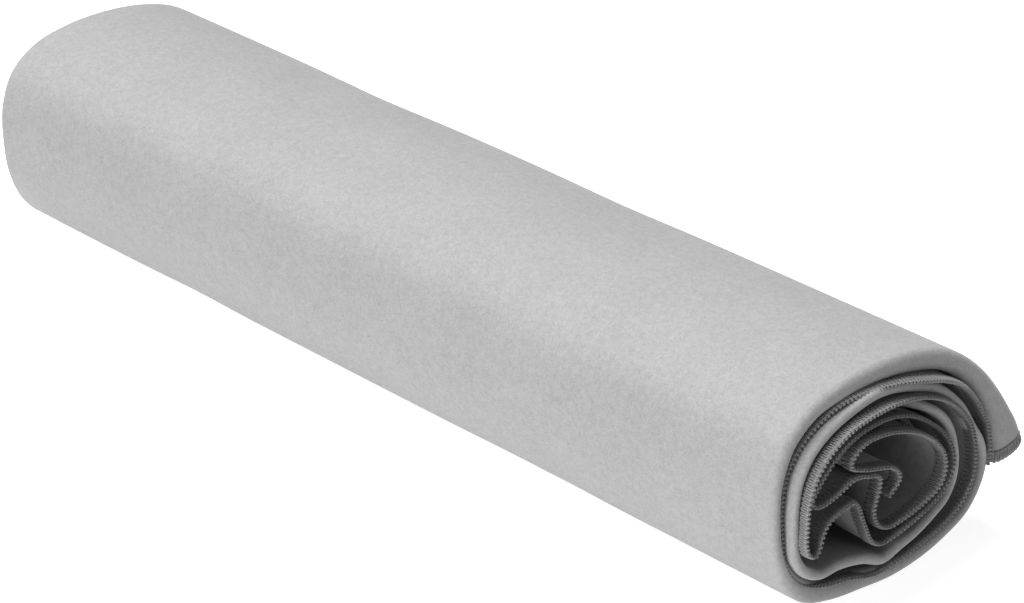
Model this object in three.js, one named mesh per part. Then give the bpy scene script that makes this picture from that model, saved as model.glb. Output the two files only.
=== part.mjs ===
// A quick dry microfibre towel, folded in thirds across its long side and rolled up from one end.
//
// The roll lies along X with its near end at +X, stands on z = 0, and its free end hangs off the
// upper back at +Y. Angles turn about +X, from +Y towards +Z, and grow from the free end inwards.
// All sizes are in millimetres and degrees.

import * as THREE from "three";
import { mergeVertices } from "three/addons/utils/BufferGeometryUtils.js";

// The cloth as it was cut.
const towelLength = 1300; // folded in thirds, so a third of it is the length of the roll
const towelWidth = 800; // rolled up
const clothThickness = 1;
const seamWidth = 4.5; // width of the overlocked hem
const threadThickness = 0.2;
const needleLineWidth = 0.6;

// The roll.
const rollWidth = 104;
const rollHeight = 84.5;
const sidePower = 2.5; // 2 is an ellipse, more is squarer
const sag = 1.5; // how far its weight flattens the underside
const layerSlack = 0.4; // room left between two layers, past their hems
const turnSlack = 0.8; // the same between two turns
const hemStandOut = 4.5; // how far the open hem reaches past the fold beside it
const coreStandOut = 8; // how far the core has slid out of the near end
const stepStart = 318; // where a turn starts to climb inwards, to pass under the free end
const stepEnd = 345;

// The free end.
const leaveAngle = 36; // where the outer layer leaves the roll
const hingeAngle = 22.5;
const tipAngle = -12;
const freeBend = 20; // how far the outer layer turns from where it leaves to its tip

// Room between pieces that touch.
const touchGap = 0.3;
const hingeGap = 0.3;
const hemEndGap = 1.2; // from the hidden hem to the fold that it lies in

// How finely the curves are cut.
const stationStep = 18;
const freeEndStations = 4;
const foldSegments = 4;
const mergeTolerance = 1e-5;

const rad = THREE.MathUtils.degToRad;
const foldWidth = towelLength / 3;
const twoHems = 2 * (touchGap + threadThickness);
const layerPitch = clothThickness + twoHems + layerSlack;
const turnPitch = 2 * layerPitch + clothThickness + twoHems + turnSlack;
const halfWidth = rollWidth / 2;
const axisHeight = (rollHeight - sag) / 2;
const halfHeight = axisHeight + sag;

// ---------------------------------------------------------------- the course of the roll

// Distance from the axis to the outer surface of the outermost turn.
function outline(angle) {
  const c = Math.abs(Math.cos(rad(angle)));
  const s = Math.sin(rad(angle));
  const oval = (c / halfWidth) ** sidePower + (Math.abs(s) / halfHeight) ** sidePower;
  const radius = oval ** (-1 / sidePower);
  return s < 0 ? Math.min(radius, axisHeight / -s) : radius;
}

// Number of turns that lie outside this one, which grows by one over each step.
function turnsOutside(angle) {
  const turn = Math.floor(angle / 360);
  const along = THREE.MathUtils.smoothstep(angle - 360 * turn, stepStart, stepEnd);
  return Math.max(0, turn + along);
}

// A point of the roll, at a depth under the outer face of its turn. The free end's angles are negative.
function onRoll(angle, depth) {
  const outside = angle < stepStart ? 0 : turnsOutside(angle);
  const radius = outline(angle) - turnPitch * outside - depth;
  return new THREE.Vector2(radius * Math.cos(rad(angle)), radius * Math.sin(rad(angle)));
}

// The outer layer leaves the roll along its tangent and runs on in a flat arc, as long as the others,
// which stay on the roll.
const leavePoint = onRoll(leaveAngle, 0);
const leaveDirection = onRoll(leaveAngle - 1, 0).sub(onRoll(leaveAngle + 1, 0)).normalize();
const bendRadius = freeArc(tipAngle) / rad(freeBend);

function freeArc(angle) {
  const pieces = 24;
  let length = 0;
  for (let i = 0; i < pieces; i += 1) {
    const from = THREE.MathUtils.lerp(leaveAngle, angle, i / pieces);
    const to = THREE.MathUtils.lerp(leaveAngle, angle, (i + 1) / pieces);
    length += onRoll(from, 0).distanceTo(onRoll(to, 0));
  }
  return length;
}

function lift(angle, depth) {
  if (angle >= leaveAngle) {
    return new THREE.Vector2(0, 0);
  }
  const turned = freeArc(angle) / bendRadius;
  const chord = 2 * bendRadius * Math.sin(turned / 2);
  const way = leaveDirection.clone().rotateAround(new THREE.Vector2(), -turned / 2);
  const free = leavePoint.clone().addScaledVector(way, chord);
  const share = 1 - THREE.MathUtils.clamp((depth - clothThickness) / (layerPitch - clothThickness), 0, 1);
  return free.sub(onRoll(angle, 0)).multiplyScalar(share);
}

const middleDepth = layerPitch + clothThickness / 2;

function rolledAngles() {
  const step = 1;
  let angle = hingeAngle;
  let length = freeLength;
  while (length < towelWidth) {
    length += onRoll(angle, middleDepth).distanceTo(onRoll(angle + step, middleDepth));
    angle += step;
  }
  return angle;
}

const freeLength = freeArc(tipAngle) - freeArc(hingeAngle);
const coreAngle = rolledAngles();

// Each turn stands out of the near end a little further than the one outside it.
function slide(angle) {
  const share = THREE.MathUtils.clamp((angle - leaveAngle) / (coreAngle - leaveAngle), 0, 1);
  return coreStandOut * share;
}

// The place of a point of the flat section, which is given along the roll and in depth.
function station(angle, point) {
  const place = onRoll(angle, point.y).add(lift(angle, point.y));
  return new THREE.Vector3(point.x + slide(angle), place.x, place.y);
}

// Angles from one to another, with the whole steps between them.
function steppedAngles(from, to) {
  const angles = [from];
  const first = Math.ceil((from + stationStep / 3) / stationStep) * stationStep;
  for (let angle = first; angle < to - stationStep / 3; angle += stationStep) {
    angles.push(angle);
  }
  return [...angles, to];
}

function evenAngles(from, to, count) {
  return Array.from({ length: count }, (_, i) => from + ((to - from) * i) / (count - 1));
}

// ---------------------------------------------------------------- the folded section

// The middle line of the cloth across the fold: the inner layer's open hem, the far fold, the outer
// layer, the near fold, and the middle layer with its hem inside the far fold.
const outerDepth = clothThickness / 2;
const middleLayer = outerDepth + layerPitch;
const innerLayer = outerDepth + 2 * layerPitch;
const farEnd = -foldWidth / 2;
const nearFoldEnd = foldWidth / 2 - hemStandOut;
const openHem = foldWidth / 2;
const hiddenHem = farEnd + clothThickness + twoHems + hemEndGap;

function arc(centreAlong, centreDepth, radius, fromAngle, toAngle) {
  return Array.from({ length: foldSegments + 1 }, (_, i) => {
    const angle = rad(fromAngle + ((toAngle - fromAngle) * i) / foldSegments);
    return new THREE.Vector2(centreAlong + radius * Math.cos(angle), centreDepth + radius * Math.sin(angle));
  });
}

// A line beside the cloth's middle line. A positive offset is on the face that shows on the roll.
function besideCloth(offset) {
  const farRadius = layerPitch + offset;
  const nearRadius = layerPitch / 2 + offset;
  const farCentre = farEnd + layerPitch + clothThickness / 2;
  const nearCentre = nearFoldEnd - layerPitch / 2 - clothThickness / 2;
  return [
    new THREE.Vector2(openHem, innerLayer + offset),
    ...arc(farCentre, middleLayer, farRadius, 90, 270),
    ...arc(nearCentre, (outerDepth + middleLayer) / 2, nearRadius, -90, 90),
    new THREE.Vector2(hiddenHem, middleLayer + offset),
  ];
}

function stripOfCloth(inside, outside) {
  return [...besideCloth(outside), ...besideCloth(inside).reverse()];
}

// ---------------------------------------------------------------- solids

// Sweeps a closed flat section along the strip, through the given angles, with both ends closed.
function sweep(angles, outlinePoints) {
  const section = THREE.ShapeUtils.isClockWise(outlinePoints) ? outlinePoints.toReversed() : outlinePoints;
  const count = section.length;
  const positions = angles.flatMap((angle) => section.flatMap((p) => station(angle, p).toArray()));
  const caps = THREE.ShapeUtils.triangulateShape(section, []);
  const last = (angles.length - 1) * count;
  const indices = [];
  for (let s = 0; s < angles.length - 1; s += 1) {
    for (let i = 0; i < count; i += 1) {
      const next = (i + 1) % count;
      const a = s * count + i;
      const b = s * count + next;
      indices.push(a, b, b + count, a, b + count, a + count);
    }
  }
  for (const [a, b, c] of caps) {
    indices.push(a, c, b, last + a, last + b, last + c);
  }
  const geometry = new THREE.BufferGeometry();
  geometry.setAttribute("position", new THREE.Float32BufferAttribute(positions, 3));
  geometry.setIndex(indices);
  return facingOut(mergeVertices(geometry, mergeTolerance));
}

// Turns a closed body's faces out, if they face in.
function facingOut(geometry) {
  const at = geometry.attributes.position;
  const index = Array.from(geometry.index.array);
  const corner = (i) => new THREE.Vector3().fromBufferAttribute(at, index[i]);
  let volume = 0;
  for (let i = 0; i < index.length; i += 3) {
    volume += corner(i).dot(corner(i + 1).cross(corner(i + 2)));
  }
  if (volume < 0) {
    index.reverse();
  }
  geometry.setIndex(index);
  geometry.computeVertexNormals();
  return geometry;
}

// ---------------------------------------------------------------- the pieces

const clothMaterial = new THREE.MeshStandardMaterial({ color: 0xb9b8b6, roughness: 0.95, metalness: 0 });
const threadMaterial = new THREE.MeshStandardMaterial({ color: 0xa9a8a6, roughness: 0.8, metalness: 0 });

const towel = new THREE.Group();

function piece(name, geometry, material) {
  const mesh = new THREE.Mesh(geometry, material);
  mesh.name = name;
  towel.add(mesh);
}

// Angles at lengths along the strip, inwards from its tip and outwards from its core.
function angleAt(angle, length) {
  return angle + THREE.MathUtils.radToDeg(length / onRoll(angle, middleDepth).length());
}

// An end hem takes up the last of the strip: its seam, a gap, its needle line and a gap. The side hems
// start after it.
const endHemLengths = [0, seamWidth, seamWidth + touchGap, seamWidth + touchGap + needleLineWidth];
const endHemLength = seamWidth + needleLineWidth + 2 * touchGap;
const tipAngles = endHemLengths.map((length) => angleAt(tipAngle, length));
const coreAngles = endHemLengths.map((length) => angleAt(coreAngle, -length));

const freeSide = evenAngles(angleAt(tipAngle, endHemLength), angleAt(hingeAngle, -hingeGap / 2), freeEndStations);
const rolledSide = steppedAngles(angleAt(hingeAngle, hingeGap / 2), angleAt(coreAngle, -endHemLength));

// The face of the cloth that carries the upper looper thread, and the one that carries the lower.
const upperFace = clothThickness / 2 + touchGap;
const lowerFace = -upperFace;

// A thread along one side hem: a flat strip beside the cloth, from one distance from the cut edge to another.
function sideStrip(edge, inwards, layer, face, from, to) {
  const thick = Math.sign(face) * threadThickness;
  return [
    new THREE.Vector2(edge + inwards * from, layer + face),
    new THREE.Vector2(edge + inwards * to, layer + face),
    new THREE.Vector2(edge + inwards * to, layer + face + thick),
    new THREE.Vector2(edge + inwards * from, layer + face + thick),
  ];
}

const needleFrom = seamWidth + touchGap;
const needleTo = needleFrom + needleLineWidth;

function sideHem(name, edge, inwards, layer) {
  const threads = {
    needle_thread: sideStrip(edge, inwards, layer, upperFace, needleFrom, needleTo),
    upper_looper_thread: sideStrip(edge, inwards, layer, upperFace, 0, seamWidth),
    lower_looper_thread: sideStrip(edge, inwards, layer, lowerFace, 0, seamWidth),
  };
  for (const [thread, section] of Object.entries(threads)) {
    piece(`${name}_${thread}`, sweep(rolledSide, section), threadMaterial);
    piece(`${name}_${thread}_free_end`, sweep(freeSide, section), threadMaterial);
  }
}

function endHem(name, angles) {
  const upper = stripOfCloth(upperFace, upperFace + threadThickness);
  const lower = stripOfCloth(lowerFace - threadThickness, lowerFace);
  const [edge, seam, needleStart, needleEnd] = angles;
  piece(`${name}_needle_thread`, sweep([needleStart, needleEnd], upper), threadMaterial);
  piece(`${name}_upper_looper_thread`, sweep([edge, seam], upper), threadMaterial);
  piece(`${name}_lower_looper_thread`, sweep([edge, seam], lower), threadMaterial);
}

const clothSection = stripOfCloth(-clothThickness / 2, clothThickness / 2);
piece("cloth_roll", sweep([...rolledSide, ...coreAngles.toReversed()], clothSection), clothMaterial);
piece("cloth_free_end", sweep([...tipAngles, ...freeSide], clothSection), clothMaterial);
sideHem("near_hem", openHem, -1, innerLayer);
sideHem("far_hem", hiddenHem, 1, middleLayer);
endHem("outer_end_hem", tipAngles);
endHem("inner_end_hem", coreAngles);

// The origin is under the middle of the towel, on the surface that it lies on.
const box = new THREE.Box3().setFromObject(towel);
const middle = box.getCenter(new THREE.Vector3());
towel.position.set(-middle.x, -middle.y, -box.min.z);
towel.updateMatrixWorld(true);

export default towel;
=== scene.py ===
"""A quick dry towel, folded in thirds and rolled up: its cloth, its overlocked hems and a plain stage."""

import math

import bpy
import numpy as np
from mathutils import Matrix, Vector


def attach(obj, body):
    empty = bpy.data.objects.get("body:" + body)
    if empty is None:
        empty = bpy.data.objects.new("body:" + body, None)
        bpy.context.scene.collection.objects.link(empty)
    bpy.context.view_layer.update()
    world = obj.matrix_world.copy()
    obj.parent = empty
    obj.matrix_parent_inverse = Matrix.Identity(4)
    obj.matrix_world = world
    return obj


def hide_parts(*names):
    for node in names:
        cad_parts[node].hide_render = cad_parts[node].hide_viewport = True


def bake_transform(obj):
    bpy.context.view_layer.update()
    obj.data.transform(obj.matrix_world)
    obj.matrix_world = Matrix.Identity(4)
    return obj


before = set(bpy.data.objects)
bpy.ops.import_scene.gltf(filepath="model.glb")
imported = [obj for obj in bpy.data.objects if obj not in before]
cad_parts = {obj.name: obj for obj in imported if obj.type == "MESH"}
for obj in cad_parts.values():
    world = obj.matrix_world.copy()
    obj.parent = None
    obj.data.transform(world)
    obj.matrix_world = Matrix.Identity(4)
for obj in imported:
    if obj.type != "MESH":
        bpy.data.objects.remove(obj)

bl_info = {
    "name": "Quick dry towel",
    "version": (1, 0, 0),
    "blender": (4, 5, 0),
    "location": "View3D > Sidebar > Towel",
    "description": "Builds a rolled microfibre towel with overlocked hems",
    "category": "Add Mesh",
}

MM = 0.001
TINY = 1e-12  # keeps a division by a length of nought away

# The middle of the roll, in the frame, in millimetres. The courses below are measured from it.
ROLL_Y = -7.5
ROLL_Z = 42.3
NEAR_RIM = 208.4  # where the outermost turn's near fold ends, along X
FOLD_WIDTH = 431.0  # from a turn's near fold to its far fold

# The courses are drawn on a slimmer roll. Across and up, times this, are their places on the real one,
# which is wider and sinks a little at the front.
SPREAD = np.array([[1.082, -0.057], [-0.059, 1.042]])

# The course of the near fold, between the outer and middle layers, from the free end inwards.
# Each point is (across, up, how far it stands out of the near end, how far the fold is open).
FREE_FOLD = [
    (65.6, -8.6, 0, 14),
    (64.0, -2.2, 0, 13),
    (59.0, 7.4, 0, 11),
    (53.2, 16.4, 0, 8.5),
    (47.2, 24.0, 0, 7),
]
FOLD = FREE_FOLD + [
    (39.6, 31.0, 0, 6.8),
    (29.8, 37.0, 0, 6.8),
    (17.0, 40.4, 0, 6.8),
    (0.0, 41.2, 0, 6.2),
    (-17.0, 39.0, 0, 5.7),
    (-32.0, 33.8, 0, 4.7),
    (-42.5, 24.8, 0, 4.4),
    (-48.0, 12.0, 0, 3.5),
    (-49.4, -3.0, 0, 3.1),
    (-48.2, -17.6, 0, 3.7),
    (-44.0, -28.8, 0, 6.3),
    (-36.2, -36.6, 0, 7),
    (-24.0, -39.9, 0, 6.6),
    (-10.0, -40.4, 0, 5.8),
    (4.0, -40.2, 0, 5),
    (16.0, -37.8, 0, 4.2),
    (28.4, -33.6, -0.5, 3.4),
    (40.4, -27.0, -1, 3),
    (47.0, -17.4, -1, 2.8),
    (48.0, -8.8, 0, 2.8),
    (45.2, -0.4, 1.5, 2.9),
    (40.4, 8.0, 1.5, 3),
    (36.5, 15.0, 1.5, 3),
    (31.0, 21.2, 1.8, 3),
    (24.0, 26.8, 2, 3),
    (14.0, 31.0, 2.5, 3),
    (3.0, 33.8, 3, 2.9),
    (-8.0, 34.5, 4, 2.8),
    (-18.7, 31.4, 4, 2.6),
    (-28.3, 27.2, 4, 2.5),
    (-36.4, 20.6, 3.8, 2.4),
    (-41.5, 12.3, 3.6, 2.4),
    (-43.9, 2.0, 3.5, 2.4),
    (-44.3, -8.0, 3.4, 2.5),
    (-43.4, -17.5, 3, 2.8),
    (-38.5, -25.0, 2.6, 3),
    (-31.0, -28.6, 2.2, 3),
    (-22.0, -28.0, 2, 3),
    (-12.0, -29.3, 2, 3),
    (-2.0, -32.4, 2, 3),
    (6.0, -29.6, 2, 2.8),
    (14.0, -27.0, 1.6, 2.6),
    (22.0, -22.8, 1.4, 2.6),
    (28.5, -18.3, 1.2, 2.6),
    (32.3, -12.5, 1, 2.6),
    (33.8, -5.0, 1, 2.6),
    (33.0, 3.0, 1, 2.6),
    (30.4, 10.5, 1, 2.6),
    (25.6, 16.6, 1, 2.6),
    (17.0, 22.2, 0, 2.5),
    (6.0, 25.4, -3, 2.2),
    (-4.0, 26.4, -8, 1.8),
    (-14.0, 25.6, -11, 1.6),
    (-25.0, 21.6, -12, 1.5),
    (-33.5, 15.4, -12, 1.5),
    (-38.8, 9.0, -12, 1.5),
]

# The course of the open hem of the inner layer, from the free end to the core and through its pleats.
# Each point is (across, up, how far it stands out of the near end).
HEM = [
    (47.6, -11.0, 0.5),
    (47.6, -3.0, 1.5),
    (46.0, 5.0, 2),
    (41.8, 12.8, 2.5),
    (37.1, 19.5, 3.5),
    (31.3, 25.2, 4.5),
    (23.6, 29.2, 5),
    (14.8, 31.8, 5),
    (4.0, 33.7, 4),
    (-8.0, 34.0, 2.5),
    (-19.0, 32.5, 1),
    (-28.8, 28.0, 0),
    (-37.2, 21.2, -0.5),
    (-42.3, 12.6, -1),
    (-44.6, 2.0, -1),
    (-45.0, -8.0, -0.8),
    (-44.6, -18.3, -0.4),
    (-40.5, -26.0, 0),
    (-35.0, -30.2, 0),
    (-27.5, -32.3, 0.3),
    (-18.0, -33.2, 0.5),
    (-4.5, -35.6, 0.5),
    (4.5, -34.2, 0.5),
    (16.0, -31.0, 0.5),
    (28.0, -26.8, 0.3),
    (36.5, -20.6, 0.3),
    (40.4, -13.0, 0.8),
    (40.8, -5.0, 1.5),
    (39.2, 3.0, 2.2),
    (36.4, 9.4, 3),
    (32.4, 14.6, 3.6),
    (26.6, 20.0, 4.4),
    (19.0, 24.4, 5.2),
    (9.0, 27.6, 6),
    (-1.0, 28.6, 6.6),
    (-11.5, 27.8, 7),
    (-21.5, 25.1, 7),
    (-30.3, 19.9, 7),
    (-36.7, 12.6, 7),
    (-40.0, 3.9, 7),
    (-41.1, -5.0, 7),
    (-41.3, -11.0, 7),
    (-39.9, -14.6, 7),
    (-37.8, -15.4, 7),
    (-35.9, -13.6, 6.8),
    (-33.9, -9.4, 6.4),
    (-30.9, -5.4, 6.2),
    (-26.5, -3.4, 6),
    (-22.2, -2.5, 5.6),
    (-18.6, -2.2, 5.2),
    (-16.6, -4.6, 5),
    (-14.6, -9.6, 4.4),
    (-12.5, -14.2, 4),
    (-10.3, -18.8, 3.4),
    (-7.8, -22.0, 3),
    (-4.2, -23.6, 2.6),
    (1.0, -22.6, 2.8),
    (6.5, -20.8, 3),
    (13.5, -18.2, 3),
    (20.6, -14.8, 3),
    (26.2, -10.4, 3),
    (29.0, -4.4, 3),
    (28.4, 1.8, 3),
    (24.8, 8.4, 3),
    (18.2, 14.6, 3),
    (10.6, 19.4, 3.2),
    (2.0, 22.2, 3.6),
    (-9.0, 22.8, 4.5),
    (-19.5, 20.4, 5),
    (-28.0, 15.4, 5.4),
    (-34.4, 9.4, 5.8),
    (-37.8, 4.8, 6),
    (-37.4, 2.4, 6),
    (-34.6, 1.6, 6),
    (-29.0, 2.8, 6),
    (-24.5, 4.6, 6),
    (-20.0, 6.6, 6),
    (-16.4, 6.7, 6),
    (-12.4, 5.6, 6),
    (-9.2, 4.9, 5.8),
    (-7.3, 3.2, 5.6),
    (-7.3, 0.2, 5.4),
    (-8.4, -4.2, 5),
    (-9.2, -8.8, 4.5),
    (-8.2, -12.6, 4),
    (-5.6, -16.2, 3.4),
    (-1.6, -17.8, 3.4),
    (4.6, -16.4, 4),
    (14.2, -12.8, 4.4),
    (20.4, -8.6, 5),
    (22.9, -3.0, 5.2),
    (22.2, 2.6, 5.4),
    (18.6, 8.0, 5.6),
    (12.8, 12.8, 6),
    (5.9, 16.4, 6.4),
    (-1.8, 18.8, 6.8),
    (-9.2, 19.6, 7),
    (-15.4, 18.8, 7),
    (-19.3, 16.6, 7),
    (-21.0, 13.6, 6.6),
    (-20.4, 11.0, 6.2),
    (-17.4, 9.6, 6),
    (-12.2, 8.0, 6),
    (-7.7, 7.2, 6),
    (-2.6, 5.8, 6),
    (0.6, 3.2, 6),
    (1.4, 0.2, 5.6),
    (0.2, -2.8, 4.8),
    (-2.2, -5.8, 4),
]

# Points of the two courses that lie side by side, by their place in each list, and how many rows of
# the grid lie between each pair and the next.
FOLD_MARKS = [0, 5, 8, 13, 16, 19, 24, 31, 38, 41, 45, 50, 53, 60]
HEM_MARKS = [0, 5, 8, 14, 17, 21, 26, 34, 40, 44, 55, 61, 65, 71]
ROWS = [22, 22, 30, 24, 18, 26, 40, 34, 16, 30, 26, 14, 26]
CORE_ROWS = 190
FREE_ROWS = ROWS[0]
PLEAT_MARKS = [8, 10]  # the pleat of the inner layer alone
CORE_MARKS = [11, 13]  # where all three layers begin to follow the same pleats

# How the layers lie inside the roll, in millimetres.
HALF_CLOTH = 0.5  # the courses follow the cloth's outer face, and the grid its middle
LAYER_GAP = 1.55  # between the middles of two layers, deep in the roll
CORE_SETBACK = 16.0  # how much further in the core's near fold lies than its open hem
FOLD_FADE = 26.0  # how deep the open part of a near fold reaches
HEM_FADE = 46.0  # how deep the inner layer keeps its own course
PLEAT_FADE = 170.0  # the same at the pleat of the inner layer alone
FREE_FADE = 150.0  # and at the free end
FAR_FOLLOWS = 0.75  # share of the open hem's standing out that the far fold repeats
FAR_OPENING = 5.0  # the most that the far fold is open
NEAR_REACH = (0.7, 2.4)  # the least and most by which a near fold is rounded along the roll
HEM_END_GAP = 4.0  # from the hidden hem to the far fold

# Over how many rows one course gives way to another, and how many rows a running mean takes in.
CORE_ENTRY = 14
FREE_BLEND = 8
PLEAT_BLEND = 10
NORMAL_REACH = 2
FAR_REACH = 12

# The columns of the grid across the sheet, and the power that crowds them towards one side.
INNER_COLUMNS = 24
INNER_CROWDING = 2.1
FAR_FOLD_COLUMNS = 9
EVEN_COLUMNS = 38
EVEN_SHARE = 0.94  # how much of the outer layer has even columns
RIM_COLUMNS = 7  # in the rest of it, next to the near fold
RIM_START = 0.8
RIM_CROWDING = 1.6
NEAR_FOLD_COLUMNS = 11
MIDDLE_COLUMNS = 16
MIDDLE_CROWDING = 2
MEASURED_COLUMN = 45  # the column and the row along which the flat sheet's places are measured
MEASURED_ROW = 60

# The core turned to and fro inside the roll, in millimetres and degrees.
TWIST = 100.0  # the most by which the middle of the core turns each way
TWIST_START = 12.0  # from the near end to where the turning begins
TWIST_LENGTH = 405.0  # from there to where it has turned back
TWIST_REACH = 42.0  # the distance from the axis at which nothing turns

# Soft dents in the outside: (place along the roll, slant in mm per degree, place round it, width,
# spread round it, depth), in millimetres and degrees.
DENTS = [
    (-130, -1.1, 150, 26, 46, 0.9),
    (-190, -0.8, 130, 34, 40, -0.5),
    (-75, 0.25, 140, 16, 60, 0.45),
    (-46, 0.2, 175, 9, 50, 0.4),
    (-28, 0.1, 150, 7, 60, 0.35),
    (-270, 0.7, 110, 40, 50, 0.6),
    (-330, -0.6, 190, 36, 46, 0.5),
    (-220, 0.3, 215, 22, 30, 0.5),
    (-150, 0.9, 60, 30, 40, 0.7),
    (-300, -0.9, 40, 34, 40, 0.7),
    (-90, 0.4, -30, 26, 34, 0.6),
    (-260, 0.4, -40, 30, 36, 0.6),
]
DENT_START = 30.0  # the distance from the axis at which the dents begin
DENT_RISE = 14.0  # and from there to where they have their whole depth

# Each hem by the grid's column or row at its edge, and one further in that gives the way inwards.
NEAR_HEM_COLUMNS = (0, 4)
FAR_HEM_COLUMNS = (-1, -3)
OUTER_END_ROWS = (0, 2)
INNER_END_ROWS = (-1, -4)

# How finely threads are made: points for each stitch, and sides round the thread.
OPEN_THREADS = {"samples": 12, "sides": 6}
HIDDEN_THREADS = {"samples": 8, "sides": 4}
CORE_THREADS = {"samples": 6, "sides": 4}

OVERSHOOT = 0.8 * MM  # how far the looper threads reach past the open hem's cut edge
HIDDEN_OVERSHOOT = 0.35 * MM  # the same at the other hems, which lie flatter
EDGE_SLOPE = 1.2 * MM  # how far in from there a looper thread reaches the cloth's face
LOOPER_SHIFT = 0.12  # of a stitch, between the two looper threads
THREAD_STANDS_OUT = 0.3  # of its radius, the height of a thread's middle above the cloth's face
NEEDLE_HEIGHT = 1.15  # the needle thread's height over the middle of the cloth, in those of the loopers
NEEDLE_DIP = 0.9  # how much of it is lost where the thread dips into the cloth
DIP_SHARPNESS = 6  # the power of the cosine, which makes the dip short

# The finishes: how strongly the nap shows, and the ply's turns along a thread and round it.
NAP_MIDDLE = 0.38
NAP_CONTRAST = 4.0
PLY_ALONG = 9000.0  # radians for each metre
PLY_ROUND = 12.566  # radians once round, for two plies

# The stage, in metres.
FLOOR_HALF = 4.0
FLOOR_COLOUR = (0.3, 0.3, 0.3)
FLOOR_GLOW = 0.85
LIT_POINT = (0.0, 0.0, 0.04)  # what both lights face
OVERHEAD_PLACE = (-0.8, 0.45, 2.3)
OVERHEAD_ANGLE = math.radians(32)
FRONT_PLACE = (0.25, -2.6, 0.5)
FRONT_SIZE = 0.9
VIEW_GAMMA = 0.8
NEAR_END_IN_VIEW = (0.0897, -0.0417)  # right of the view's middle and above it, as slopes


# ---------------------------------------------------------------- curves and grids


def smooth(t):
    """Rises from 0 to 1 as t does, level at both ends: three t squared less two t cubed."""
    t = np.clip(t, 0.0, 1.0)
    return t * t * (3.0 - 2.0 * t)


def curve_through(points, pieces=24):
    """A smooth curve through points: on each stretch the cubic that has, at each point, the slope of
    the parabola through it and its two neighbours. Returns the fine points and where each given one is."""
    points = np.array(points, float)
    step = np.linalg.norm(np.diff(points[:, :2], axis=0), axis=1)
    slope = np.diff(points, axis=0) / step[:, None]
    before, after = step[:-1, None], step[1:, None]
    inside = (slope[:-1] * after + slope[1:] * before) / (before + after)
    tangent = np.vstack([2 * slope[0] - inside[0], inside, 2 * slope[-1] - inside[-1]])
    t = np.linspace(0, 1, pieces, endpoint=False)[None, :, None]
    length = step[:, None, None]
    start, end = points[:-1, None], points[1:, None]
    go, come = tangent[:-1, None] * length, tangent[1:, None] * length
    fine = (
        start * (2 * t**3 - 3 * t**2 + 1)
        + go * (t**3 - 2 * t**2 + t)
        + end * (3 * t**2 - 2 * t**3)
        + come * (t**3 - t**2)
    )
    places = np.arange(len(points)) * pieces
    return np.vstack([fine.reshape(-1, points.shape[1]), points[-1]]), places


def lengths_along(line, width=2):
    """Distance along a line from its start to each of its points."""
    step = np.linalg.norm(np.diff(line[:, :width], axis=0), axis=1)
    return np.concatenate([[0.0], np.cumsum(step)])


def even_rows(points, marks, counts):
    """Points along the curve through some points, evenly spaced between one mark and the next."""
    points = np.array(points, float)
    points[:, :2] = points[:, :2] @ SPREAD
    fine, place = curve_through(points)
    along = lengths_along(fine)
    stops = along[place[marks]]
    stretches = zip(stops[:-1], stops[1:], counts)
    wanted = [np.linspace(start, end, count, endpoint=False) for start, end, count in stretches]
    wanted = np.concatenate([*wanted, stops[-1:]])
    return np.column_stack([np.interp(wanted, along, column) for column in fine.T])


def outward(line):
    """The unit normal to a flat curve on the right of its way, which is outwards on a roll."""
    way = np.gradient(line[:, :2], axis=0)
    way /= np.linalg.norm(way, axis=1, keepdims=True)
    return np.column_stack([way[:, 1], -way[:, 0]])


def softened(values, reach):
    """A running mean over rows, as wide as reach on each side."""
    window = np.ones(2 * reach + 1) / (2 * reach + 1)
    padded = np.concatenate([np.repeat(values[:1], reach, 0), values, np.repeat(values[-1:], reach, 0)])
    return np.apply_along_axis(lambda column: np.convolve(column, window, "valid"), 0, padded)


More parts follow.
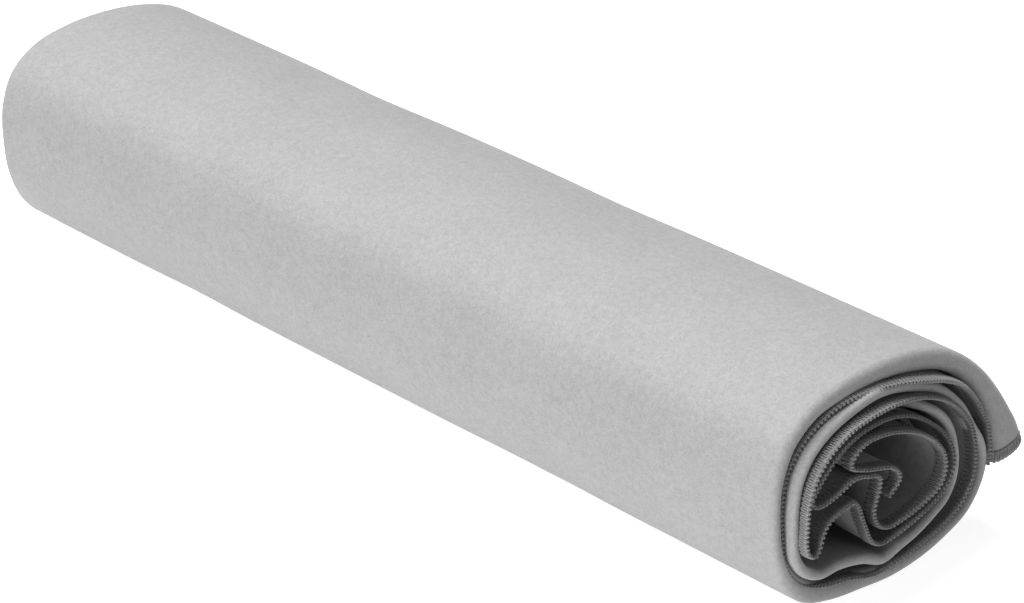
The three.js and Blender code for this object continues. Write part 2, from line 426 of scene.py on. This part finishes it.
class Roll:
    """The courses of the three layers along the strip, and the grid of the cloth's middle surface."""

    def __init__(self):
        marks = np.concatenate([[0], np.cumsum(ROWS)])
        core_start, core_end = marks[CORE_MARKS]
        core_start += CORE_ENTRY
        outer_hem = even_rows(HEM, HEM_MARKS + [len(HEM) - 1], ROWS + [CORE_ROWS])
        outer_fold = even_rows(FOLD, FOLD_MARKS, ROWS)
        self.rows = len(outer_hem)
        row = np.arange(self.rows)
        hem_outward = softened(outward(outer_hem), NORMAL_REACH)

        # In the core the outer layers follow the inner one.
        core_fold = np.zeros((self.rows, 4))
        core_fold[:, :2] = outer_hem[:, :2] + 2 * LAYER_GAP * hem_outward
        core_fold[:, 2] = outer_hem[:, 2] - CORE_SETBACK
        core_fold[:, 3] = LAYER_GAP
        fold = core_fold.copy()
        fold[: len(outer_fold)] = outer_fold
        in_core = smooth((row - core_start) / (core_end - core_start))[:, None]
        self.fold = fold * (1 - in_core) + core_fold * in_core
        self.fold[:, :2] -= HALF_CLOTH * outward(self.fold) * (1 - in_core)
        self.hem = outer_hem
        self.in_core = in_core
        self.fold_outward = outward(self.fold)

        free = smooth(1 - row / (FREE_ROWS + FREE_BLEND))
        pleat_start, pleat_end = marks[PLEAT_MARKS]
        pleat = smooth((row - pleat_start) / PLEAT_BLEND) * smooth((pleat_end - row) / PLEAT_BLEND)
        self.hem_fade = HEM_FADE + (PLEAT_FADE - HEM_FADE) * pleat + (FREE_FADE - HEM_FADE) * free
        self.fold_fade = FOLD_FADE + (FREE_FADE - FOLD_FADE) * free
        self.far = softened(FAR_FOLLOWS * self.hem[:, 2:3], FAR_REACH)[:, 0] - FOLD_WIDTH

    def outer(self):
        """The outer layer, which keeps its course along the roll."""
        return self.fold[:, :2]

    def middle(self, depth):
        """The middle layer, at depths from its near fold: open there, close to the outer one inside."""
        share = smooth(depth / self.fold_fade[:, None])
        gap = self.fold[:, 3:4] * (1 - share) + LAYER_GAP * share
        return self.fold[:, None, :2] - self.fold_outward[:, None] * gap[..., None]

    def inner(self, depth):
        """The inner layer, at depths from its open hem: its own course there, beside the others inside."""
        share = smooth(depth / self.hem_fade[:, None]) * (1 - self.in_core)
        beside = self.fold[:, :2] - 2 * LAYER_GAP * self.fold_outward
        return self.hem[:, None, :2] + (beside - self.hem[:, :2])[:, None] * share[..., None]

    def grid(self):
        """The cloth's middle surface, one row for each place along the strip, across the sheet from the
        open hem: the inner layer to the far end, the far fold, the outer layer back, the near fold, and the
        middle layer to its hem inside the far fold."""
        fold_out = self.fold[:, 2:3]
        hem_out = self.hem[:, 2:3]
        far = self.far[:, None]

        # The far fold is half an oval about the middle of its two layers, and so is the near fold.
        turn = np.linspace(0, math.pi, FAR_FOLD_COLUMNS)[None, 1:-1]
        inner_far = self.inner(hem_out - far)
        outer = self.outer()[:, None]
        reach = np.minimum(np.linalg.norm(inner_far - outer, axis=2), FAR_OPENING) / 2
        far_middle = (inner_far + outer) / 2
        far_half = (inner_far - outer) / 2
        far_fold = placed(
            far + reach - reach * np.sin(turn),
            far_middle + far_half * np.cos(turn)[..., None],
        )
        near_reach = np.clip(self.fold[:, 3:4] / 2, *NEAR_REACH)
        middle_near = self.middle(np.zeros((self.rows, 1)))
        near_middle = (outer + middle_near) / 2
        near_half = (outer - middle_near) / 2
        turn = np.linspace(0, math.pi, NEAR_FOLD_COLUMNS)[None, 1:-1]
        near_fold = placed(
            fold_out - near_reach + near_reach * np.sin(turn),
            near_middle + near_half * np.cos(turn)[..., None],
        )

        width = hem_out - far - reach
        depth = width * np.linspace(0, 1, INNER_COLUMNS)[None] ** INNER_CROWDING
        inner = placed(hem_out - depth, self.inner(depth))

        even = np.linspace(0, EVEN_SHARE, EVEN_COLUMNS)
        near_rim = 1 - (1 - EVEN_SHARE) * np.linspace(RIM_START, 0, RIM_COLUMNS) ** RIM_CROWDING
        along = np.concatenate([even, near_rim])[None]
        start, end = far + reach, fold_out - near_reach
        outer_layer = placed(start + (end - start) * along, np.repeat(outer, along.shape[1], axis=1))

        depth = (end - far - HEM_END_GAP) * np.linspace(0, 1, MIDDLE_COLUMNS)[None] ** MIDDLE_CROWDING
        middle = placed(end - depth, self.middle(depth))
        sheet = np.concatenate([inner, far_fold, outer_layer, near_fold, middle], axis=1)
        sheet += self.dents(sheet)
        return (twisted(sheet) + [NEAR_RIM, ROLL_Y, ROLL_Z]) * MM

    def dents(self, sheet):
        """Soft hollows and rings pressed into the cloth, as moves across the roll. Each is a bell curve
        about a slanting line on the outside, and they die away towards the core."""
        along, across, up = np.moveaxis(sheet, 2, 0)
        round_roll = np.degrees(np.arctan2(up, across))
        reach = np.hypot(across, up)
        shape = np.zeros_like(along)
        for where, slant, round_at, width, spread, depth in DENTS:
            off_line = along - where - slant * (round_roll - round_at)
            around = (round_roll - round_at + 180) % 360 - 180
            shape -= depth * np.exp(-((off_line / width) ** 2) - (around / spread) ** 2)
        outside = smooth((reach - DENT_START) / DENT_RISE)[..., None]
        away = np.stack([np.zeros_like(along), across / reach, up / reach], axis=2)
        return away * shape[..., None] * outside


def placed(along, across):
    """Grid points from their places along the roll and their pairs of places across it."""
    along = np.broadcast_to(along, across.shape[:2])
    return np.concatenate([along[..., None], across], axis=2)


def twisted(sheet):
    """The roll with its core turned to and fro inside it: each point turns about the axis by an angle
    that grows with its nearness to the axis, and that is a sine wave along the roll."""
    along, across, up = np.moveaxis(sheet, 2, 0)
    inside = 1 - smooth(np.hypot(across, up) / TWIST_REACH)
    share = np.clip((-along - TWIST_START) / TWIST_LENGTH, 0, 1)
    turn = math.radians(TWIST) * inside * np.sin(2 * math.pi * share)
    cosine, sine = np.cos(turn), np.sin(turn)
    return np.stack([along, cosine * across - sine * up, sine * across + cosine * up], axis=2)


# ---------------------------------------------------------------- meshes


def put_mesh(name, points, corners, sizes, uv, material):
    """A smooth mesh object from whole arrays: points, face corners one face after another, the number of
    corners of each face, and one texture place for each point."""
    mesh = bpy.data.meshes.new(name)
    mesh.vertices.add(len(points))
    mesh.vertices.foreach_set("co", np.ascontiguousarray(points, np.float32).ravel())
    mesh.loops.add(len(corners))
    mesh.loops.foreach_set("vertex_index", np.ascontiguousarray(corners, np.int32))
    mesh.polygons.add(len(sizes))
    mesh.polygons.foreach_set("loop_start", np.concatenate([[0], np.cumsum(sizes)[:-1]]).astype(np.int32))
    mesh.polygons.foreach_set("use_smooth", np.ones(len(sizes), bool))
    layer = mesh.uv_layers.new(name="UVMap")
    layer.data.foreach_set("uv", np.ascontiguousarray(uv[corners], np.float32).ravel())
    mesh.materials.append(material)
    mesh.update(calc_edges=True)
    mesh.validate()
    piece = bpy.data.objects.new(name, mesh)
    bpy.context.scene.collection.objects.link(piece)
    return piece


def grid_quads(rows, columns, start=0, flip=False):
    """Four corners for each cell of a grid of points that are numbered row by row."""
    number = start + np.arange(rows * columns).reshape(rows, columns)
    corners = [number[:-1, :-1], number[1:, :-1], number[1:, 1:], number[:-1, 1:]]
    quads = np.stack(corners, axis=2).reshape(-1, len(corners))
    return quads[:, ::-1] if flip else quads


def rim_quads(line, other):
    """Faces that close the edge between a line of points on one side and its partner on the other."""
    return np.stack([line[:-1], other[:-1], other[1:], line[1:]], axis=1)


def surface_normals(grid):
    """The unit normal of a grid of points: its way along the rows crossed with its way across them."""
    normal = np.cross(np.gradient(grid, axis=0), np.gradient(grid, axis=1))
    return normal / np.maximum(np.linalg.norm(normal, axis=2, keepdims=True), TINY)


def put_cloth(name, grid, normal, strip, thickness, material):
    """A closed sheet of cloth: the grid moved by half its thickness to both sides, and a rim between them.
    strip gives each point's place on the flat sheet."""
    rows, columns = grid.shape[:2]
    count = rows * columns
    points = np.concatenate([(grid + side * thickness / 2 * normal).reshape(-1, 3) for side in (1, -1)])
    number = np.arange(count).reshape(rows, columns)
    rims = [
        rim_quads(number[:, 0], number[:, 0] + count),
        rim_quads(number[-1], number[-1] + count),
        rim_quads(number[::-1, -1], number[::-1, -1] + count),
        rim_quads(number[0, ::-1], number[0, ::-1] + count),
    ]
    faces = np.concatenate([grid_quads(rows, columns), grid_quads(rows, columns, count, True), *rims])
    uv = np.tile(strip.reshape(-1, 2), (2, 1))
    piece = put_mesh(name, points, faces.ravel(), np.full(len(faces), 4), uv, material)
    sharpen_rims(piece, number, count)
    return piece


def sharpen_rims(piece, number, count):
    """Marks the edges round both faces of a sheet as sharp, so that the rim doesn't round its shading."""
    border = np.concatenate([number[0], number[-1], number[:, 0], number[:, -1]])
    on_border = np.zeros(2 * count, bool)
    on_border[border] = True
    on_border[border + count] = True
    ends = np.empty(2 * len(piece.data.edges), np.int32)
    piece.data.edges.foreach_get("vertices", ends)
    ends = ends.reshape(-1, 2)
    sharp = on_border[ends].all(axis=1)
    piece.data.edges.foreach_set("use_edge_sharp", sharp)


def put_thread(name, path, up, radius, sides, material):
    """A round thread: a circle carried along a path, square to its way, with its first point towards up."""
    way = np.gradient(path, axis=0)
    way /= np.maximum(np.linalg.norm(way, axis=1, keepdims=True), TINY)
    across = np.cross(way, up)
    across /= np.maximum(np.linalg.norm(across, axis=1, keepdims=True), TINY)
    upright = np.cross(across, way)
    turn = np.linspace(0, 2 * math.pi, sides, endpoint=False)
    circle = np.cos(turn)[:, None] * upright[:, None] + np.sin(turn)[:, None] * across[:, None]
    rings = path[:, None] + radius * circle
    count = len(path)
    number = np.arange(count * sides).reshape(count, sides)
    following = np.roll(number, -1, axis=1)
    walls = np.stack([number[:-1], following[:-1], following[1:], number[1:]], axis=2).reshape(-1)
    corners = np.concatenate([walls, number[0, ::-1], number[-1]])
    sizes = np.concatenate([np.full((count - 1) * sides, 4), [sides, sides]])
    along = np.repeat(lengths_along(path, 3), sides)
    uv = np.column_stack([along, np.tile(turn / (2 * math.pi), count)])
    return put_mesh(name, rings.reshape(-1, 3), corners, sizes, uv, material)


# ---------------------------------------------------------------- the overlocked hem


class Hem:
    """A hem as three lines of equal count: its cut edge, the way inwards and the face's normal."""

    def __init__(self, edge, inwards, normal):
        self.edge = edge
        self.inwards = inwards / np.linalg.norm(inwards, axis=1, keepdims=True)
        self.normal = normal / np.linalg.norm(normal, axis=1, keepdims=True)
        self.along = lengths_along(edge, 3)

    def place(self, along, inwards, above):
        """Points at a distance along the hem, in from its edge and above the middle of the cloth."""
        edge, way, normal = (
            np.column_stack([np.interp(along, self.along, column) for column in line.T])
            for line in (self.edge, self.inwards, self.normal)
        )
        return edge + way * inwards[:, None] + normal * above[:, None], normal

    def stretch(self, start, end):
        """The part of the hem between two of its points."""
        return Hem(self.edge[start:end], self.inwards[start:end], self.normal[start:end])

    def stitches(self, length, samples):
        """So many places for each stitch: how many stitches come before it, and how far along it is."""
        count = max(2, int(round(self.along[-1] / length)))
        phase = np.linspace(0, count, count * samples + 1)
        return phase, self.along[-1] * phase / count


def looper_path(hem, stitches, width, face, overshoot, shift):
    """The course of a looper thread: once for each stitch it swings in to the needle line and back,
    as a raised cosine, and comes down from the face to the middle of the cloth just past its cut edge."""
    phase, along = stitches
    swing = 0.5 - 0.5 * np.cos(2 * math.pi * (phase + shift))
    inwards = -overshoot + (width + overshoot) * swing
    above = face * smooth((inwards + overshoot) / EDGE_SLOPE)
    return hem.place(along, inwards, above)


def needle_path(hem, stitches, width, face):
    """The course of the needle thread: a straight row on one face, which dips into the cloth once for
    each stitch as a power of a cosine."""
    phase, along = stitches
    dip = np.abs(np.cos(math.pi * phase)) ** DIP_SHARPNESS
    inwards = np.full_like(phase, width)
    return hem.place(along, inwards, face * (NEEDLE_HEIGHT - NEEDLE_DIP * dip))


# ---------------------------------------------------------------- materials


class Field:
    """A number or colour that varies over a surface: one output of a shader node, with arithmetic."""

    def __init__(self, nodes, socket):
        self.nodes = nodes
        self.socket = socket

    def combine(self, operation, first, second):
        """Adds the node that works out an operation on two values."""
        return self.nodes.add("ShaderNodeMath", {"operation": operation}, [first, second])

    def __add__(self, other):
        return self.combine("ADD", self, other)

    def __radd__(self, other):
        return self.combine("ADD", other, self)

    def __sub__(self, other):
        return self.combine("SUBTRACT", self, other)

    def __rsub__(self, other):
        return self.combine("SUBTRACT", other, self)

    def __mul__(self, other):
        return self.combine("MULTIPLY", self, other)

    def __rmul__(self, other):
        return self.combine("MULTIPLY", other, self)


class Nodes:
    """The node tree of a new material or world, filled from nothing."""

    def __init__(self, owner):
        owner.use_nodes = True
        self.owner = owner
        self.tree = owner.node_tree
        self.tree.nodes.clear()

    def add(self, kind, settings=None, inputs=(), output=0):
        """Adds a node, sets it up, fills or links its inputs, and returns one of its outputs, if any."""
        node = self.tree.nodes.new(kind)
        for key, value in (settings or {}).items():
            setattr(node, key, value)
        pairs = inputs.items() if isinstance(inputs, dict) else enumerate(inputs)
        for key, value in pairs:
            if isinstance(value, Field):
                self.tree.links.new(value.socket, node.inputs[key])
            else:
                node.inputs[key].default_value = value
        return Field(self, node.outputs[output]) if node.outputs else None

    def noise(self, vector, scale, detail, roughness=0.5):
        """Cloudy noise between 0 and 1, with about as many clouds to a metre as its scale says."""
        return self.add(
            "ShaderNodeTexNoise",
            {"noise_dimensions": "3D"},
            {"Vector": vector, "Scale": scale, "Detail": detail, "Roughness": roughness},
        )

    def mix_colour(self, factor, dark, light):
        """A colour from dark to light, as the factor goes from 0 to 1."""
        return self.add(
            "ShaderNodeMix",
            {"data_type": "RGBA"},
            {0: factor, 6: (*dark, 1.0), 7: (*light, 1.0)},
            output=2,
        )

    def finish(self, shader, output="ShaderNodeOutputMaterial"):
        """Links the last shader to the output, and returns the material or world."""
        self.add(output, {}, {"Surface": shader})
        return self.owner


def shaded(colour, share):
    """A colour made lighter or darker by a share."""
    return tuple(channel * share for channel in colour)


def microfibre_finish(colour):
    """Brushed microfibre: a fine nap that lies in soft patches, lighter where it stands up."""
    nodes = Nodes(bpy.data.materials.new("microfibre"))
    place = nodes.add("ShaderNodeTexCoord", output="Object")
    nap = nodes.noise(place, scale=1500.0, detail=3.0, roughness=0.7)
    fuzz = nodes.noise(place, scale=420.0, detail=3.0, roughness=0.6)
    patches = nodes.noise(place, scale=38.0, detail=3.0, roughness=0.55)
    height = nap * 0.5 + fuzz * 0.9 + patches * 0.6
    tone = nap * 0.6 + fuzz * 0.3 + patches * 0.1
    share = (tone - NAP_MIDDLE) * NAP_CONTRAST
    base = nodes.mix_colour(share, dark=shaded(colour, 0.87), light=shaded(colour, 1.1))
    bump = nodes.add("ShaderNodeBump", {}, {"Strength": 0.55, "Distance": 0.0005, "Height": height})
    shader = nodes.add(
        "ShaderNodeBsdfPrincipled",
        {},
        {
            "Base Color": base,
            "Roughness": 0.88 + fuzz * 0.1,
            "Normal": bump,
            "Specular IOR Level": 0.25,
            "Sheen Weight": 0.18,
            "Sheen Roughness": 0.45,
        },
    )
    return nodes.finish(shader)


def thread_finish(colour):
    """Spun polyester thread: fine plies that wind round it, with loose fibres."""
    nodes = Nodes(bpy.data.materials.new("overlock_thread"))
    place = nodes.add("ShaderNodeUVMap")
    along = nodes.add("ShaderNodeSeparateXYZ", {}, [place], output="X")
    around = nodes.add("ShaderNodeSeparateXYZ", {}, [place], output="Y")
    ply = nodes.add("ShaderNodeMath", {"operation": "SINE"}, [along * PLY_ALONG + around * PLY_ROUND])
    fibre = nodes.noise(nodes.add("ShaderNodeTexCoord", output="Object"), scale=2600.0, detail=2.0)
    share = ply * 0.3 + fibre * 0.6
    base = nodes.mix_colour(share, dark=shaded(colour, 0.82), light=shaded(colour, 1.1))
    height = ply * 0.5 + fibre
    bump = nodes.add("ShaderNodeBump", {}, {"Strength": 0.5, "Distance": 0.0001, "Height": height})
    shader = nodes.add(
        "ShaderNodeBsdfPrincipled",
        {},
        {"Base Color": base, "Roughness": 0.6 + fibre * 0.2, "Normal": bump, "Sheen Weight": 0.1},
    )
    return nodes.finish(shader)


def light_table_finish(colour, glow):
    """White acrylic lit from below, for the floor."""
    nodes = Nodes(bpy.data.materials.new("light_table"))
    shader = nodes.add(
        "ShaderNodeBsdfPrincipled",
        {},
        {
            "Base Color": (*colour, 1.0),
            "Roughness": 0.9,
            "Specular IOR Level": 0.0,
            "Emission Color": (1.0, 1.0, 1.0, 1.0),
            "Emission Strength": glow,
        },
    )
    return nodes.finish(shader)


def white_room(strength):
    """A room that looks white and gives little light."""
    nodes = Nodes(bpy.data.worlds.new("studio"))
    seen = nodes.add("ShaderNodeLightPath", output="Is Camera Ray")
    level = nodes.add("ShaderNodeMapRange", {}, {"Value": seen, "To Min": strength, "To Max": 1.0})
    shader = nodes.add("ShaderNodeBackground", {}, {"Color": (1.0, 1.0, 1.0, 1.0), "Strength": level})
    return nodes.finish(shader, "ShaderNodeOutputWorld")


# ---------------------------------------------------------------- what a user can change


class TowelSettings(bpy.types.PropertyGroup):
    """Sizes and colours of the towel."""

    cloth_thickness: bpy.props.FloatProperty(
        name="Cloth thickness",
        description="Thickness of the microfibre",
        default=1.0 * MM,
        unit="LENGTH",
        precision=4,
    )
    sheet_width: bpy.props.FloatProperty(
        name="Sheet width", description="The side that is rolled up", default=0.8, unit="LENGTH"
    )
    sheet_length: bpy.props.FloatProperty(
        name="Sheet length", description="The side that is folded in thirds", default=1.3, unit="LENGTH"
    )
    cloth_colour: bpy.props.FloatVectorProperty(
        name="Cloth colour",
        description="Colour of the microfibre",
        default=(0.37, 0.37, 0.37),
        subtype="COLOR",
        size=3,
    )


class HemSettings(bpy.types.PropertyGroup):
    """Sizes and colour of the overlocked hem."""

    seam_width: bpy.props.FloatProperty(
        name="Seam width",
        description="From the cut edge to the needle line",
        default=4.3 * MM,
        unit="LENGTH",
        precision=4,
    )
    stitch_length: bpy.props.FloatProperty(
        name="Stitch length",
        description="From one stitch to the next",
        default=1.7 * MM,
        unit="LENGTH",
        precision=4,
    )
    thread_radius: bpy.props.FloatProperty(
        name="Thread radius",
        description="Half the thickness of a thread",
        default=0.34 * MM,
        unit="LENGTH",
        precision=5,
    )
    thread_colour: bpy.props.FloatVectorProperty(
        name="Thread colour",
        description="Colour of the threads",
        default=(0.28, 0.28, 0.28),
        subtype="COLOR",
        size=3,
    )


class StageSettings(bpy.types.PropertyGroup):
    """The camera and lights."""

    heading: bpy.props.FloatProperty(
        name="Heading",
        description="The camera's turn about the object",
        default=math.radians(47.9),
        subtype="ANGLE",
    )
    elevation: bpy.props.FloatProperty(
        name="Elevation",
        description="The camera's height above the horizon",
        default=math.radians(25.6),
        subtype="ANGLE",
    )
    distance: bpy.props.FloatProperty(
        name="Distance",
        description="From the camera to the near end, along its view",
        default=1.4,
        unit="LENGTH",
    )
    focal_length: bpy.props.FloatProperty(
        name="Focal length", description="The camera's focal length in millimetres", default=146.1
    )
    overhead_light: bpy.props.FloatProperty(
        name="Overhead light", description="Strength of the light from above", default=3.8
    )
    front_light: bpy.props.FloatProperty(
        name="Front light", description="Power of the soft light in front", default=49.0, unit="POWER"
    )
    room_light: bpy.props.FloatProperty(
        name="Room light", description="Strength of the light from all round", default=0.38
    )


# ---------------------------------------------------------------- operators

SHARED = {}


def roll_surface():
    """The cloth's grid, its normals and its places on the flat sheet, worked out once."""
    if not SHARED:
        grid = Roll().grid()
        down = lengths_along(grid[:, MEASURED_COLUMN], 3)
        over = lengths_along(grid[MEASURED_ROW], 3)
        strip = np.stack(np.meshgrid(down, over, indexing="ij"), axis=2)
        SHARED.update(grid=grid, normal=surface_normals(grid), strip=strip)
    return SHARED["grid"], SHARED["normal"], SHARED["strip"]


def finish_named(name, make, colour):
    """The material of that name, made the first time that it is asked for."""
    return bpy.data.materials.get(name) or make(tuple(colour))


def bend_at_hinge(piece):
    """Puts a piece of the free end in place, with its transform baked into its mesh."""
    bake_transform(piece)


class TOWEL_OT_cloth(bpy.types.Operator):
    """Build the towel's cloth, the rolled part and the free end"""

    bl_idname = "towel.cloth"
    bl_label = "Cloth"

    def execute(self, context):
        settings = context.scene.towel
        grid, normal, strip = roll_surface()
        finish = finish_named("microfibre", microfibre_finish, settings.cloth_colour)
        thickness = settings.cloth_thickness
        parts = {}
        for name, rows in (("roll", slice(FREE_ROWS, None)), ("free_end", slice(0, FREE_ROWS + 1))):
            piece = put_cloth(
                f"towel_cloth_{name}", grid[rows], normal[rows], strip[rows], thickness, finish
            )
            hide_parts(f"cloth_{name}")
            parts[name] = piece
        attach(parts["roll"], "roll")
        bend_at_hinge(parts["free_end"])
        return {"FINISHED"}


def put_hem(settings, name, hem, ends, overshoot, samples, sides):
    """Makes the three threads of a hem, each in the pieces that ends names."""
    finish = finish_named("overlock_thread", thread_finish, settings.thread_colour)
    face = bpy.context.scene.towel.cloth_thickness / 2 + settings.thread_radius * THREAD_STANDS_OUT
    width = settings.seam_width
    for suffix, part in ends.items():
        stretch = hem if part is None else hem.stretch(*part)
        stitches = stretch.stitches(settings.stitch_length, samples)
        threads = {
            "needle_thread": needle_path(stretch, stitches, width, face),
            "upper_looper_thread": looper_path(stretch, stitches, width, face, overshoot, 0.0),
            "lower_looper_thread": looper_path(stretch, stitches, width, -face, overshoot, LOOPER_SHIFT),
        }
        for thread, (path, up) in threads.items():
            node = f"{name}_{thread}{suffix}"
            piece = put_thread(f"towel_{node}", path, up, settings.thread_radius, sides, finish)
            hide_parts(node)
            if suffix == "_free_end" or name == "outer_end_hem":
                bend_at_hinge(piece)
            else:
                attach(piece, "roll")


def side_hem(column, inwards_column):
    """The hem along one side of the sheet, from the grid's columns at its edge and further in."""
    grid, normal, _ = roll_surface()
    return Hem(grid[:, column], grid[:, inwards_column] - grid[:, column], normal[:, column])


def end_hem(row, inwards_row):
    """The hem along one end of the sheet, from the grid's rows at its edge and further in."""
    grid, normal, _ = roll_surface()
    return Hem(grid[row], grid[inwards_row] - grid[row], normal[row])


class TOWEL_OT_side_hems(bpy.types.Operator):
    """Build the threads of the open hem at the near end and of the hem inside the far fold"""

    bl_idname = "towel.side_hems"
    bl_label = "Side hems"

    def execute(self, context):
        settings = context.scene.towel_hem
        ends = {"": (FREE_ROWS, None), "_free_end": (0, FREE_ROWS + 1)}
        near, far = side_hem(*NEAR_HEM_COLUMNS), side_hem(*FAR_HEM_COLUMNS)
        put_hem(settings, "near_hem", near, ends, OVERSHOOT, **OPEN_THREADS)
        put_hem(settings, "far_hem", far, ends, HIDDEN_OVERSHOOT, **HIDDEN_THREADS)
        return {"FINISHED"}


class TOWEL_OT_end_hems(bpy.types.Operator):
    """Build the threads of the hems at the outer end and at the end in the core"""

    bl_idname = "towel.end_hems"
    bl_label = "End hems"

    def execute(self, context):
        settings = context.scene.towel_hem
        outer, inner = end_hem(*OUTER_END_ROWS), end_hem(*INNER_END_ROWS)
        put_hem(settings, "outer_end_hem", outer, {"": None}, HIDDEN_OVERSHOOT, **OPEN_THREADS)
        put_hem(settings, "inner_end_hem", inner, {"": None}, HIDDEN_OVERSHOOT, **CORE_THREADS)
        return {"FINISHED"}


class TOWEL_OT_declare(bpy.types.Operator):
    """Do nothing and finish at once"""

    bl_idname = "towel.declare"
    bl_label = "Declare the sheet"

    def execute(self, context):
        return {"FINISHED"}


class TOWEL_OT_stage(bpy.types.Operator):
    """Set the floor, the lights and the camera"""

    bl_idname = "towel.stage"
    bl_label = "Stage"

    def execute(self, context):
        settings = context.scene.towel_stage
        scene = context.scene
        points = FLOOR_HALF * np.array([(-1, -1, 0), (1, -1, 0), (1, 1, 0), (-1, 1, 0)])
        finish = light_table_finish(FLOOR_COLOUR, FLOOR_GLOW)
        floor = put_mesh("floor", points, np.arange(4), np.array([4]), points[:, :2], finish)
        floor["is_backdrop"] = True
        scene.world = white_room(settings.room_light)
        overhead = bpy.data.lights.new("overhead", "SUN")
        overhead.energy = settings.overhead_light
        overhead.angle = OVERHEAD_ANGLE
        self.hang(overhead, OVERHEAD_PLACE)
        front = bpy.data.lights.new("front", "AREA")
        front.energy = settings.front_light
        front.size = FRONT_SIZE
        self.hang(front, FRONT_PLACE)
        self.camera(settings)
        scene.view_settings.view_transform = "Standard"
        scene.view_settings.gamma = VIEW_GAMMA
        return {"FINISHED"}

    def hang(self, light, place):
        """Puts a light at a place, facing the roll."""
        lamp = bpy.data.objects.new(light.name, light)
        way = Vector(LIT_POINT) - Vector(place)
        turned = way.to_track_quat("-Z", "Y").to_matrix().to_4x4()
        lamp.matrix_world = Matrix.Translation(place) @ turned
        bpy.context.scene.collection.objects.link(lamp)

    def camera(self, settings):
        """A camera at the given heading and elevation, with the roll's near end right of its middle."""
        turn, rise = settings.heading, settings.elevation
        ahead = math.cos(rise)
        forward = Vector((-math.sin(turn) * ahead, math.cos(turn) * ahead, -math.sin(rise)))
        right = Vector((math.cos(turn), math.sin(turn), 0.0))
        up = right.cross(forward)
        near_end = Vector((NEAR_RIM, ROLL_Y, ROLL_Z)) * MM
        aside, above = NEAR_END_IN_VIEW
        place = near_end - settings.distance * (forward + aside * right + above * up)
        data = bpy.data.cameras.new("camera")
        data.lens = settings.focal_length
        camera = bpy.data.objects.new("camera", data)
        turned = Matrix((right, up, -forward)).transposed().to_4x4()
        camera.matrix_world = Matrix.Translation(place) @ turned
        bpy.context.scene.collection.objects.link(camera)
        bpy.context.scene.camera = camera


class TOWEL_PT_panel(bpy.types.Panel):
    """The towel's sizes and the steps that build it"""

    bl_label = "Towel"
    bl_idname = "TOWEL_PT_panel"
    bl_space_type = "VIEW_3D"
    bl_region_type = "UI"
    bl_category = "Towel"

    def draw(self, context):
        for settings in (context.scene.towel, context.scene.towel_hem, context.scene.towel_stage):
            box = self.layout.box()
            for name in settings.__annotations__:
                box.prop(settings, name)
        for step in STEPS:
            self.layout.operator(step.bl_idname)


STEPS = (TOWEL_OT_cloth, TOWEL_OT_side_hems, TOWEL_OT_end_hems, TOWEL_OT_declare, TOWEL_OT_stage)
GROUPS = {"towel": TowelSettings, "towel_hem": HemSettings, "towel_stage": StageSettings}
CLASSES = (*GROUPS.values(), *STEPS, TOWEL_PT_panel)


def register():
    for item in CLASSES:
        bpy.utils.register_class(item)
    for name, group in GROUPS.items():
        setattr(bpy.types.Scene, name, bpy.props.PointerProperty(type=group))


def unregister():
    for name in GROUPS:
        delattr(bpy.types.Scene, name)
    for item in reversed(CLASSES):
        bpy.utils.unregister_class(item)


def main():
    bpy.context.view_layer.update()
    register()
    bpy.ops.towel.cloth()
    bpy.ops.towel.side_hems()
    bpy.ops.towel.end_hems()
    bpy.ops.towel.declare()
    bpy.ops.towel.stage()
    bpy.context.view_layer.update()


if __name__ == "__main__":
    main()
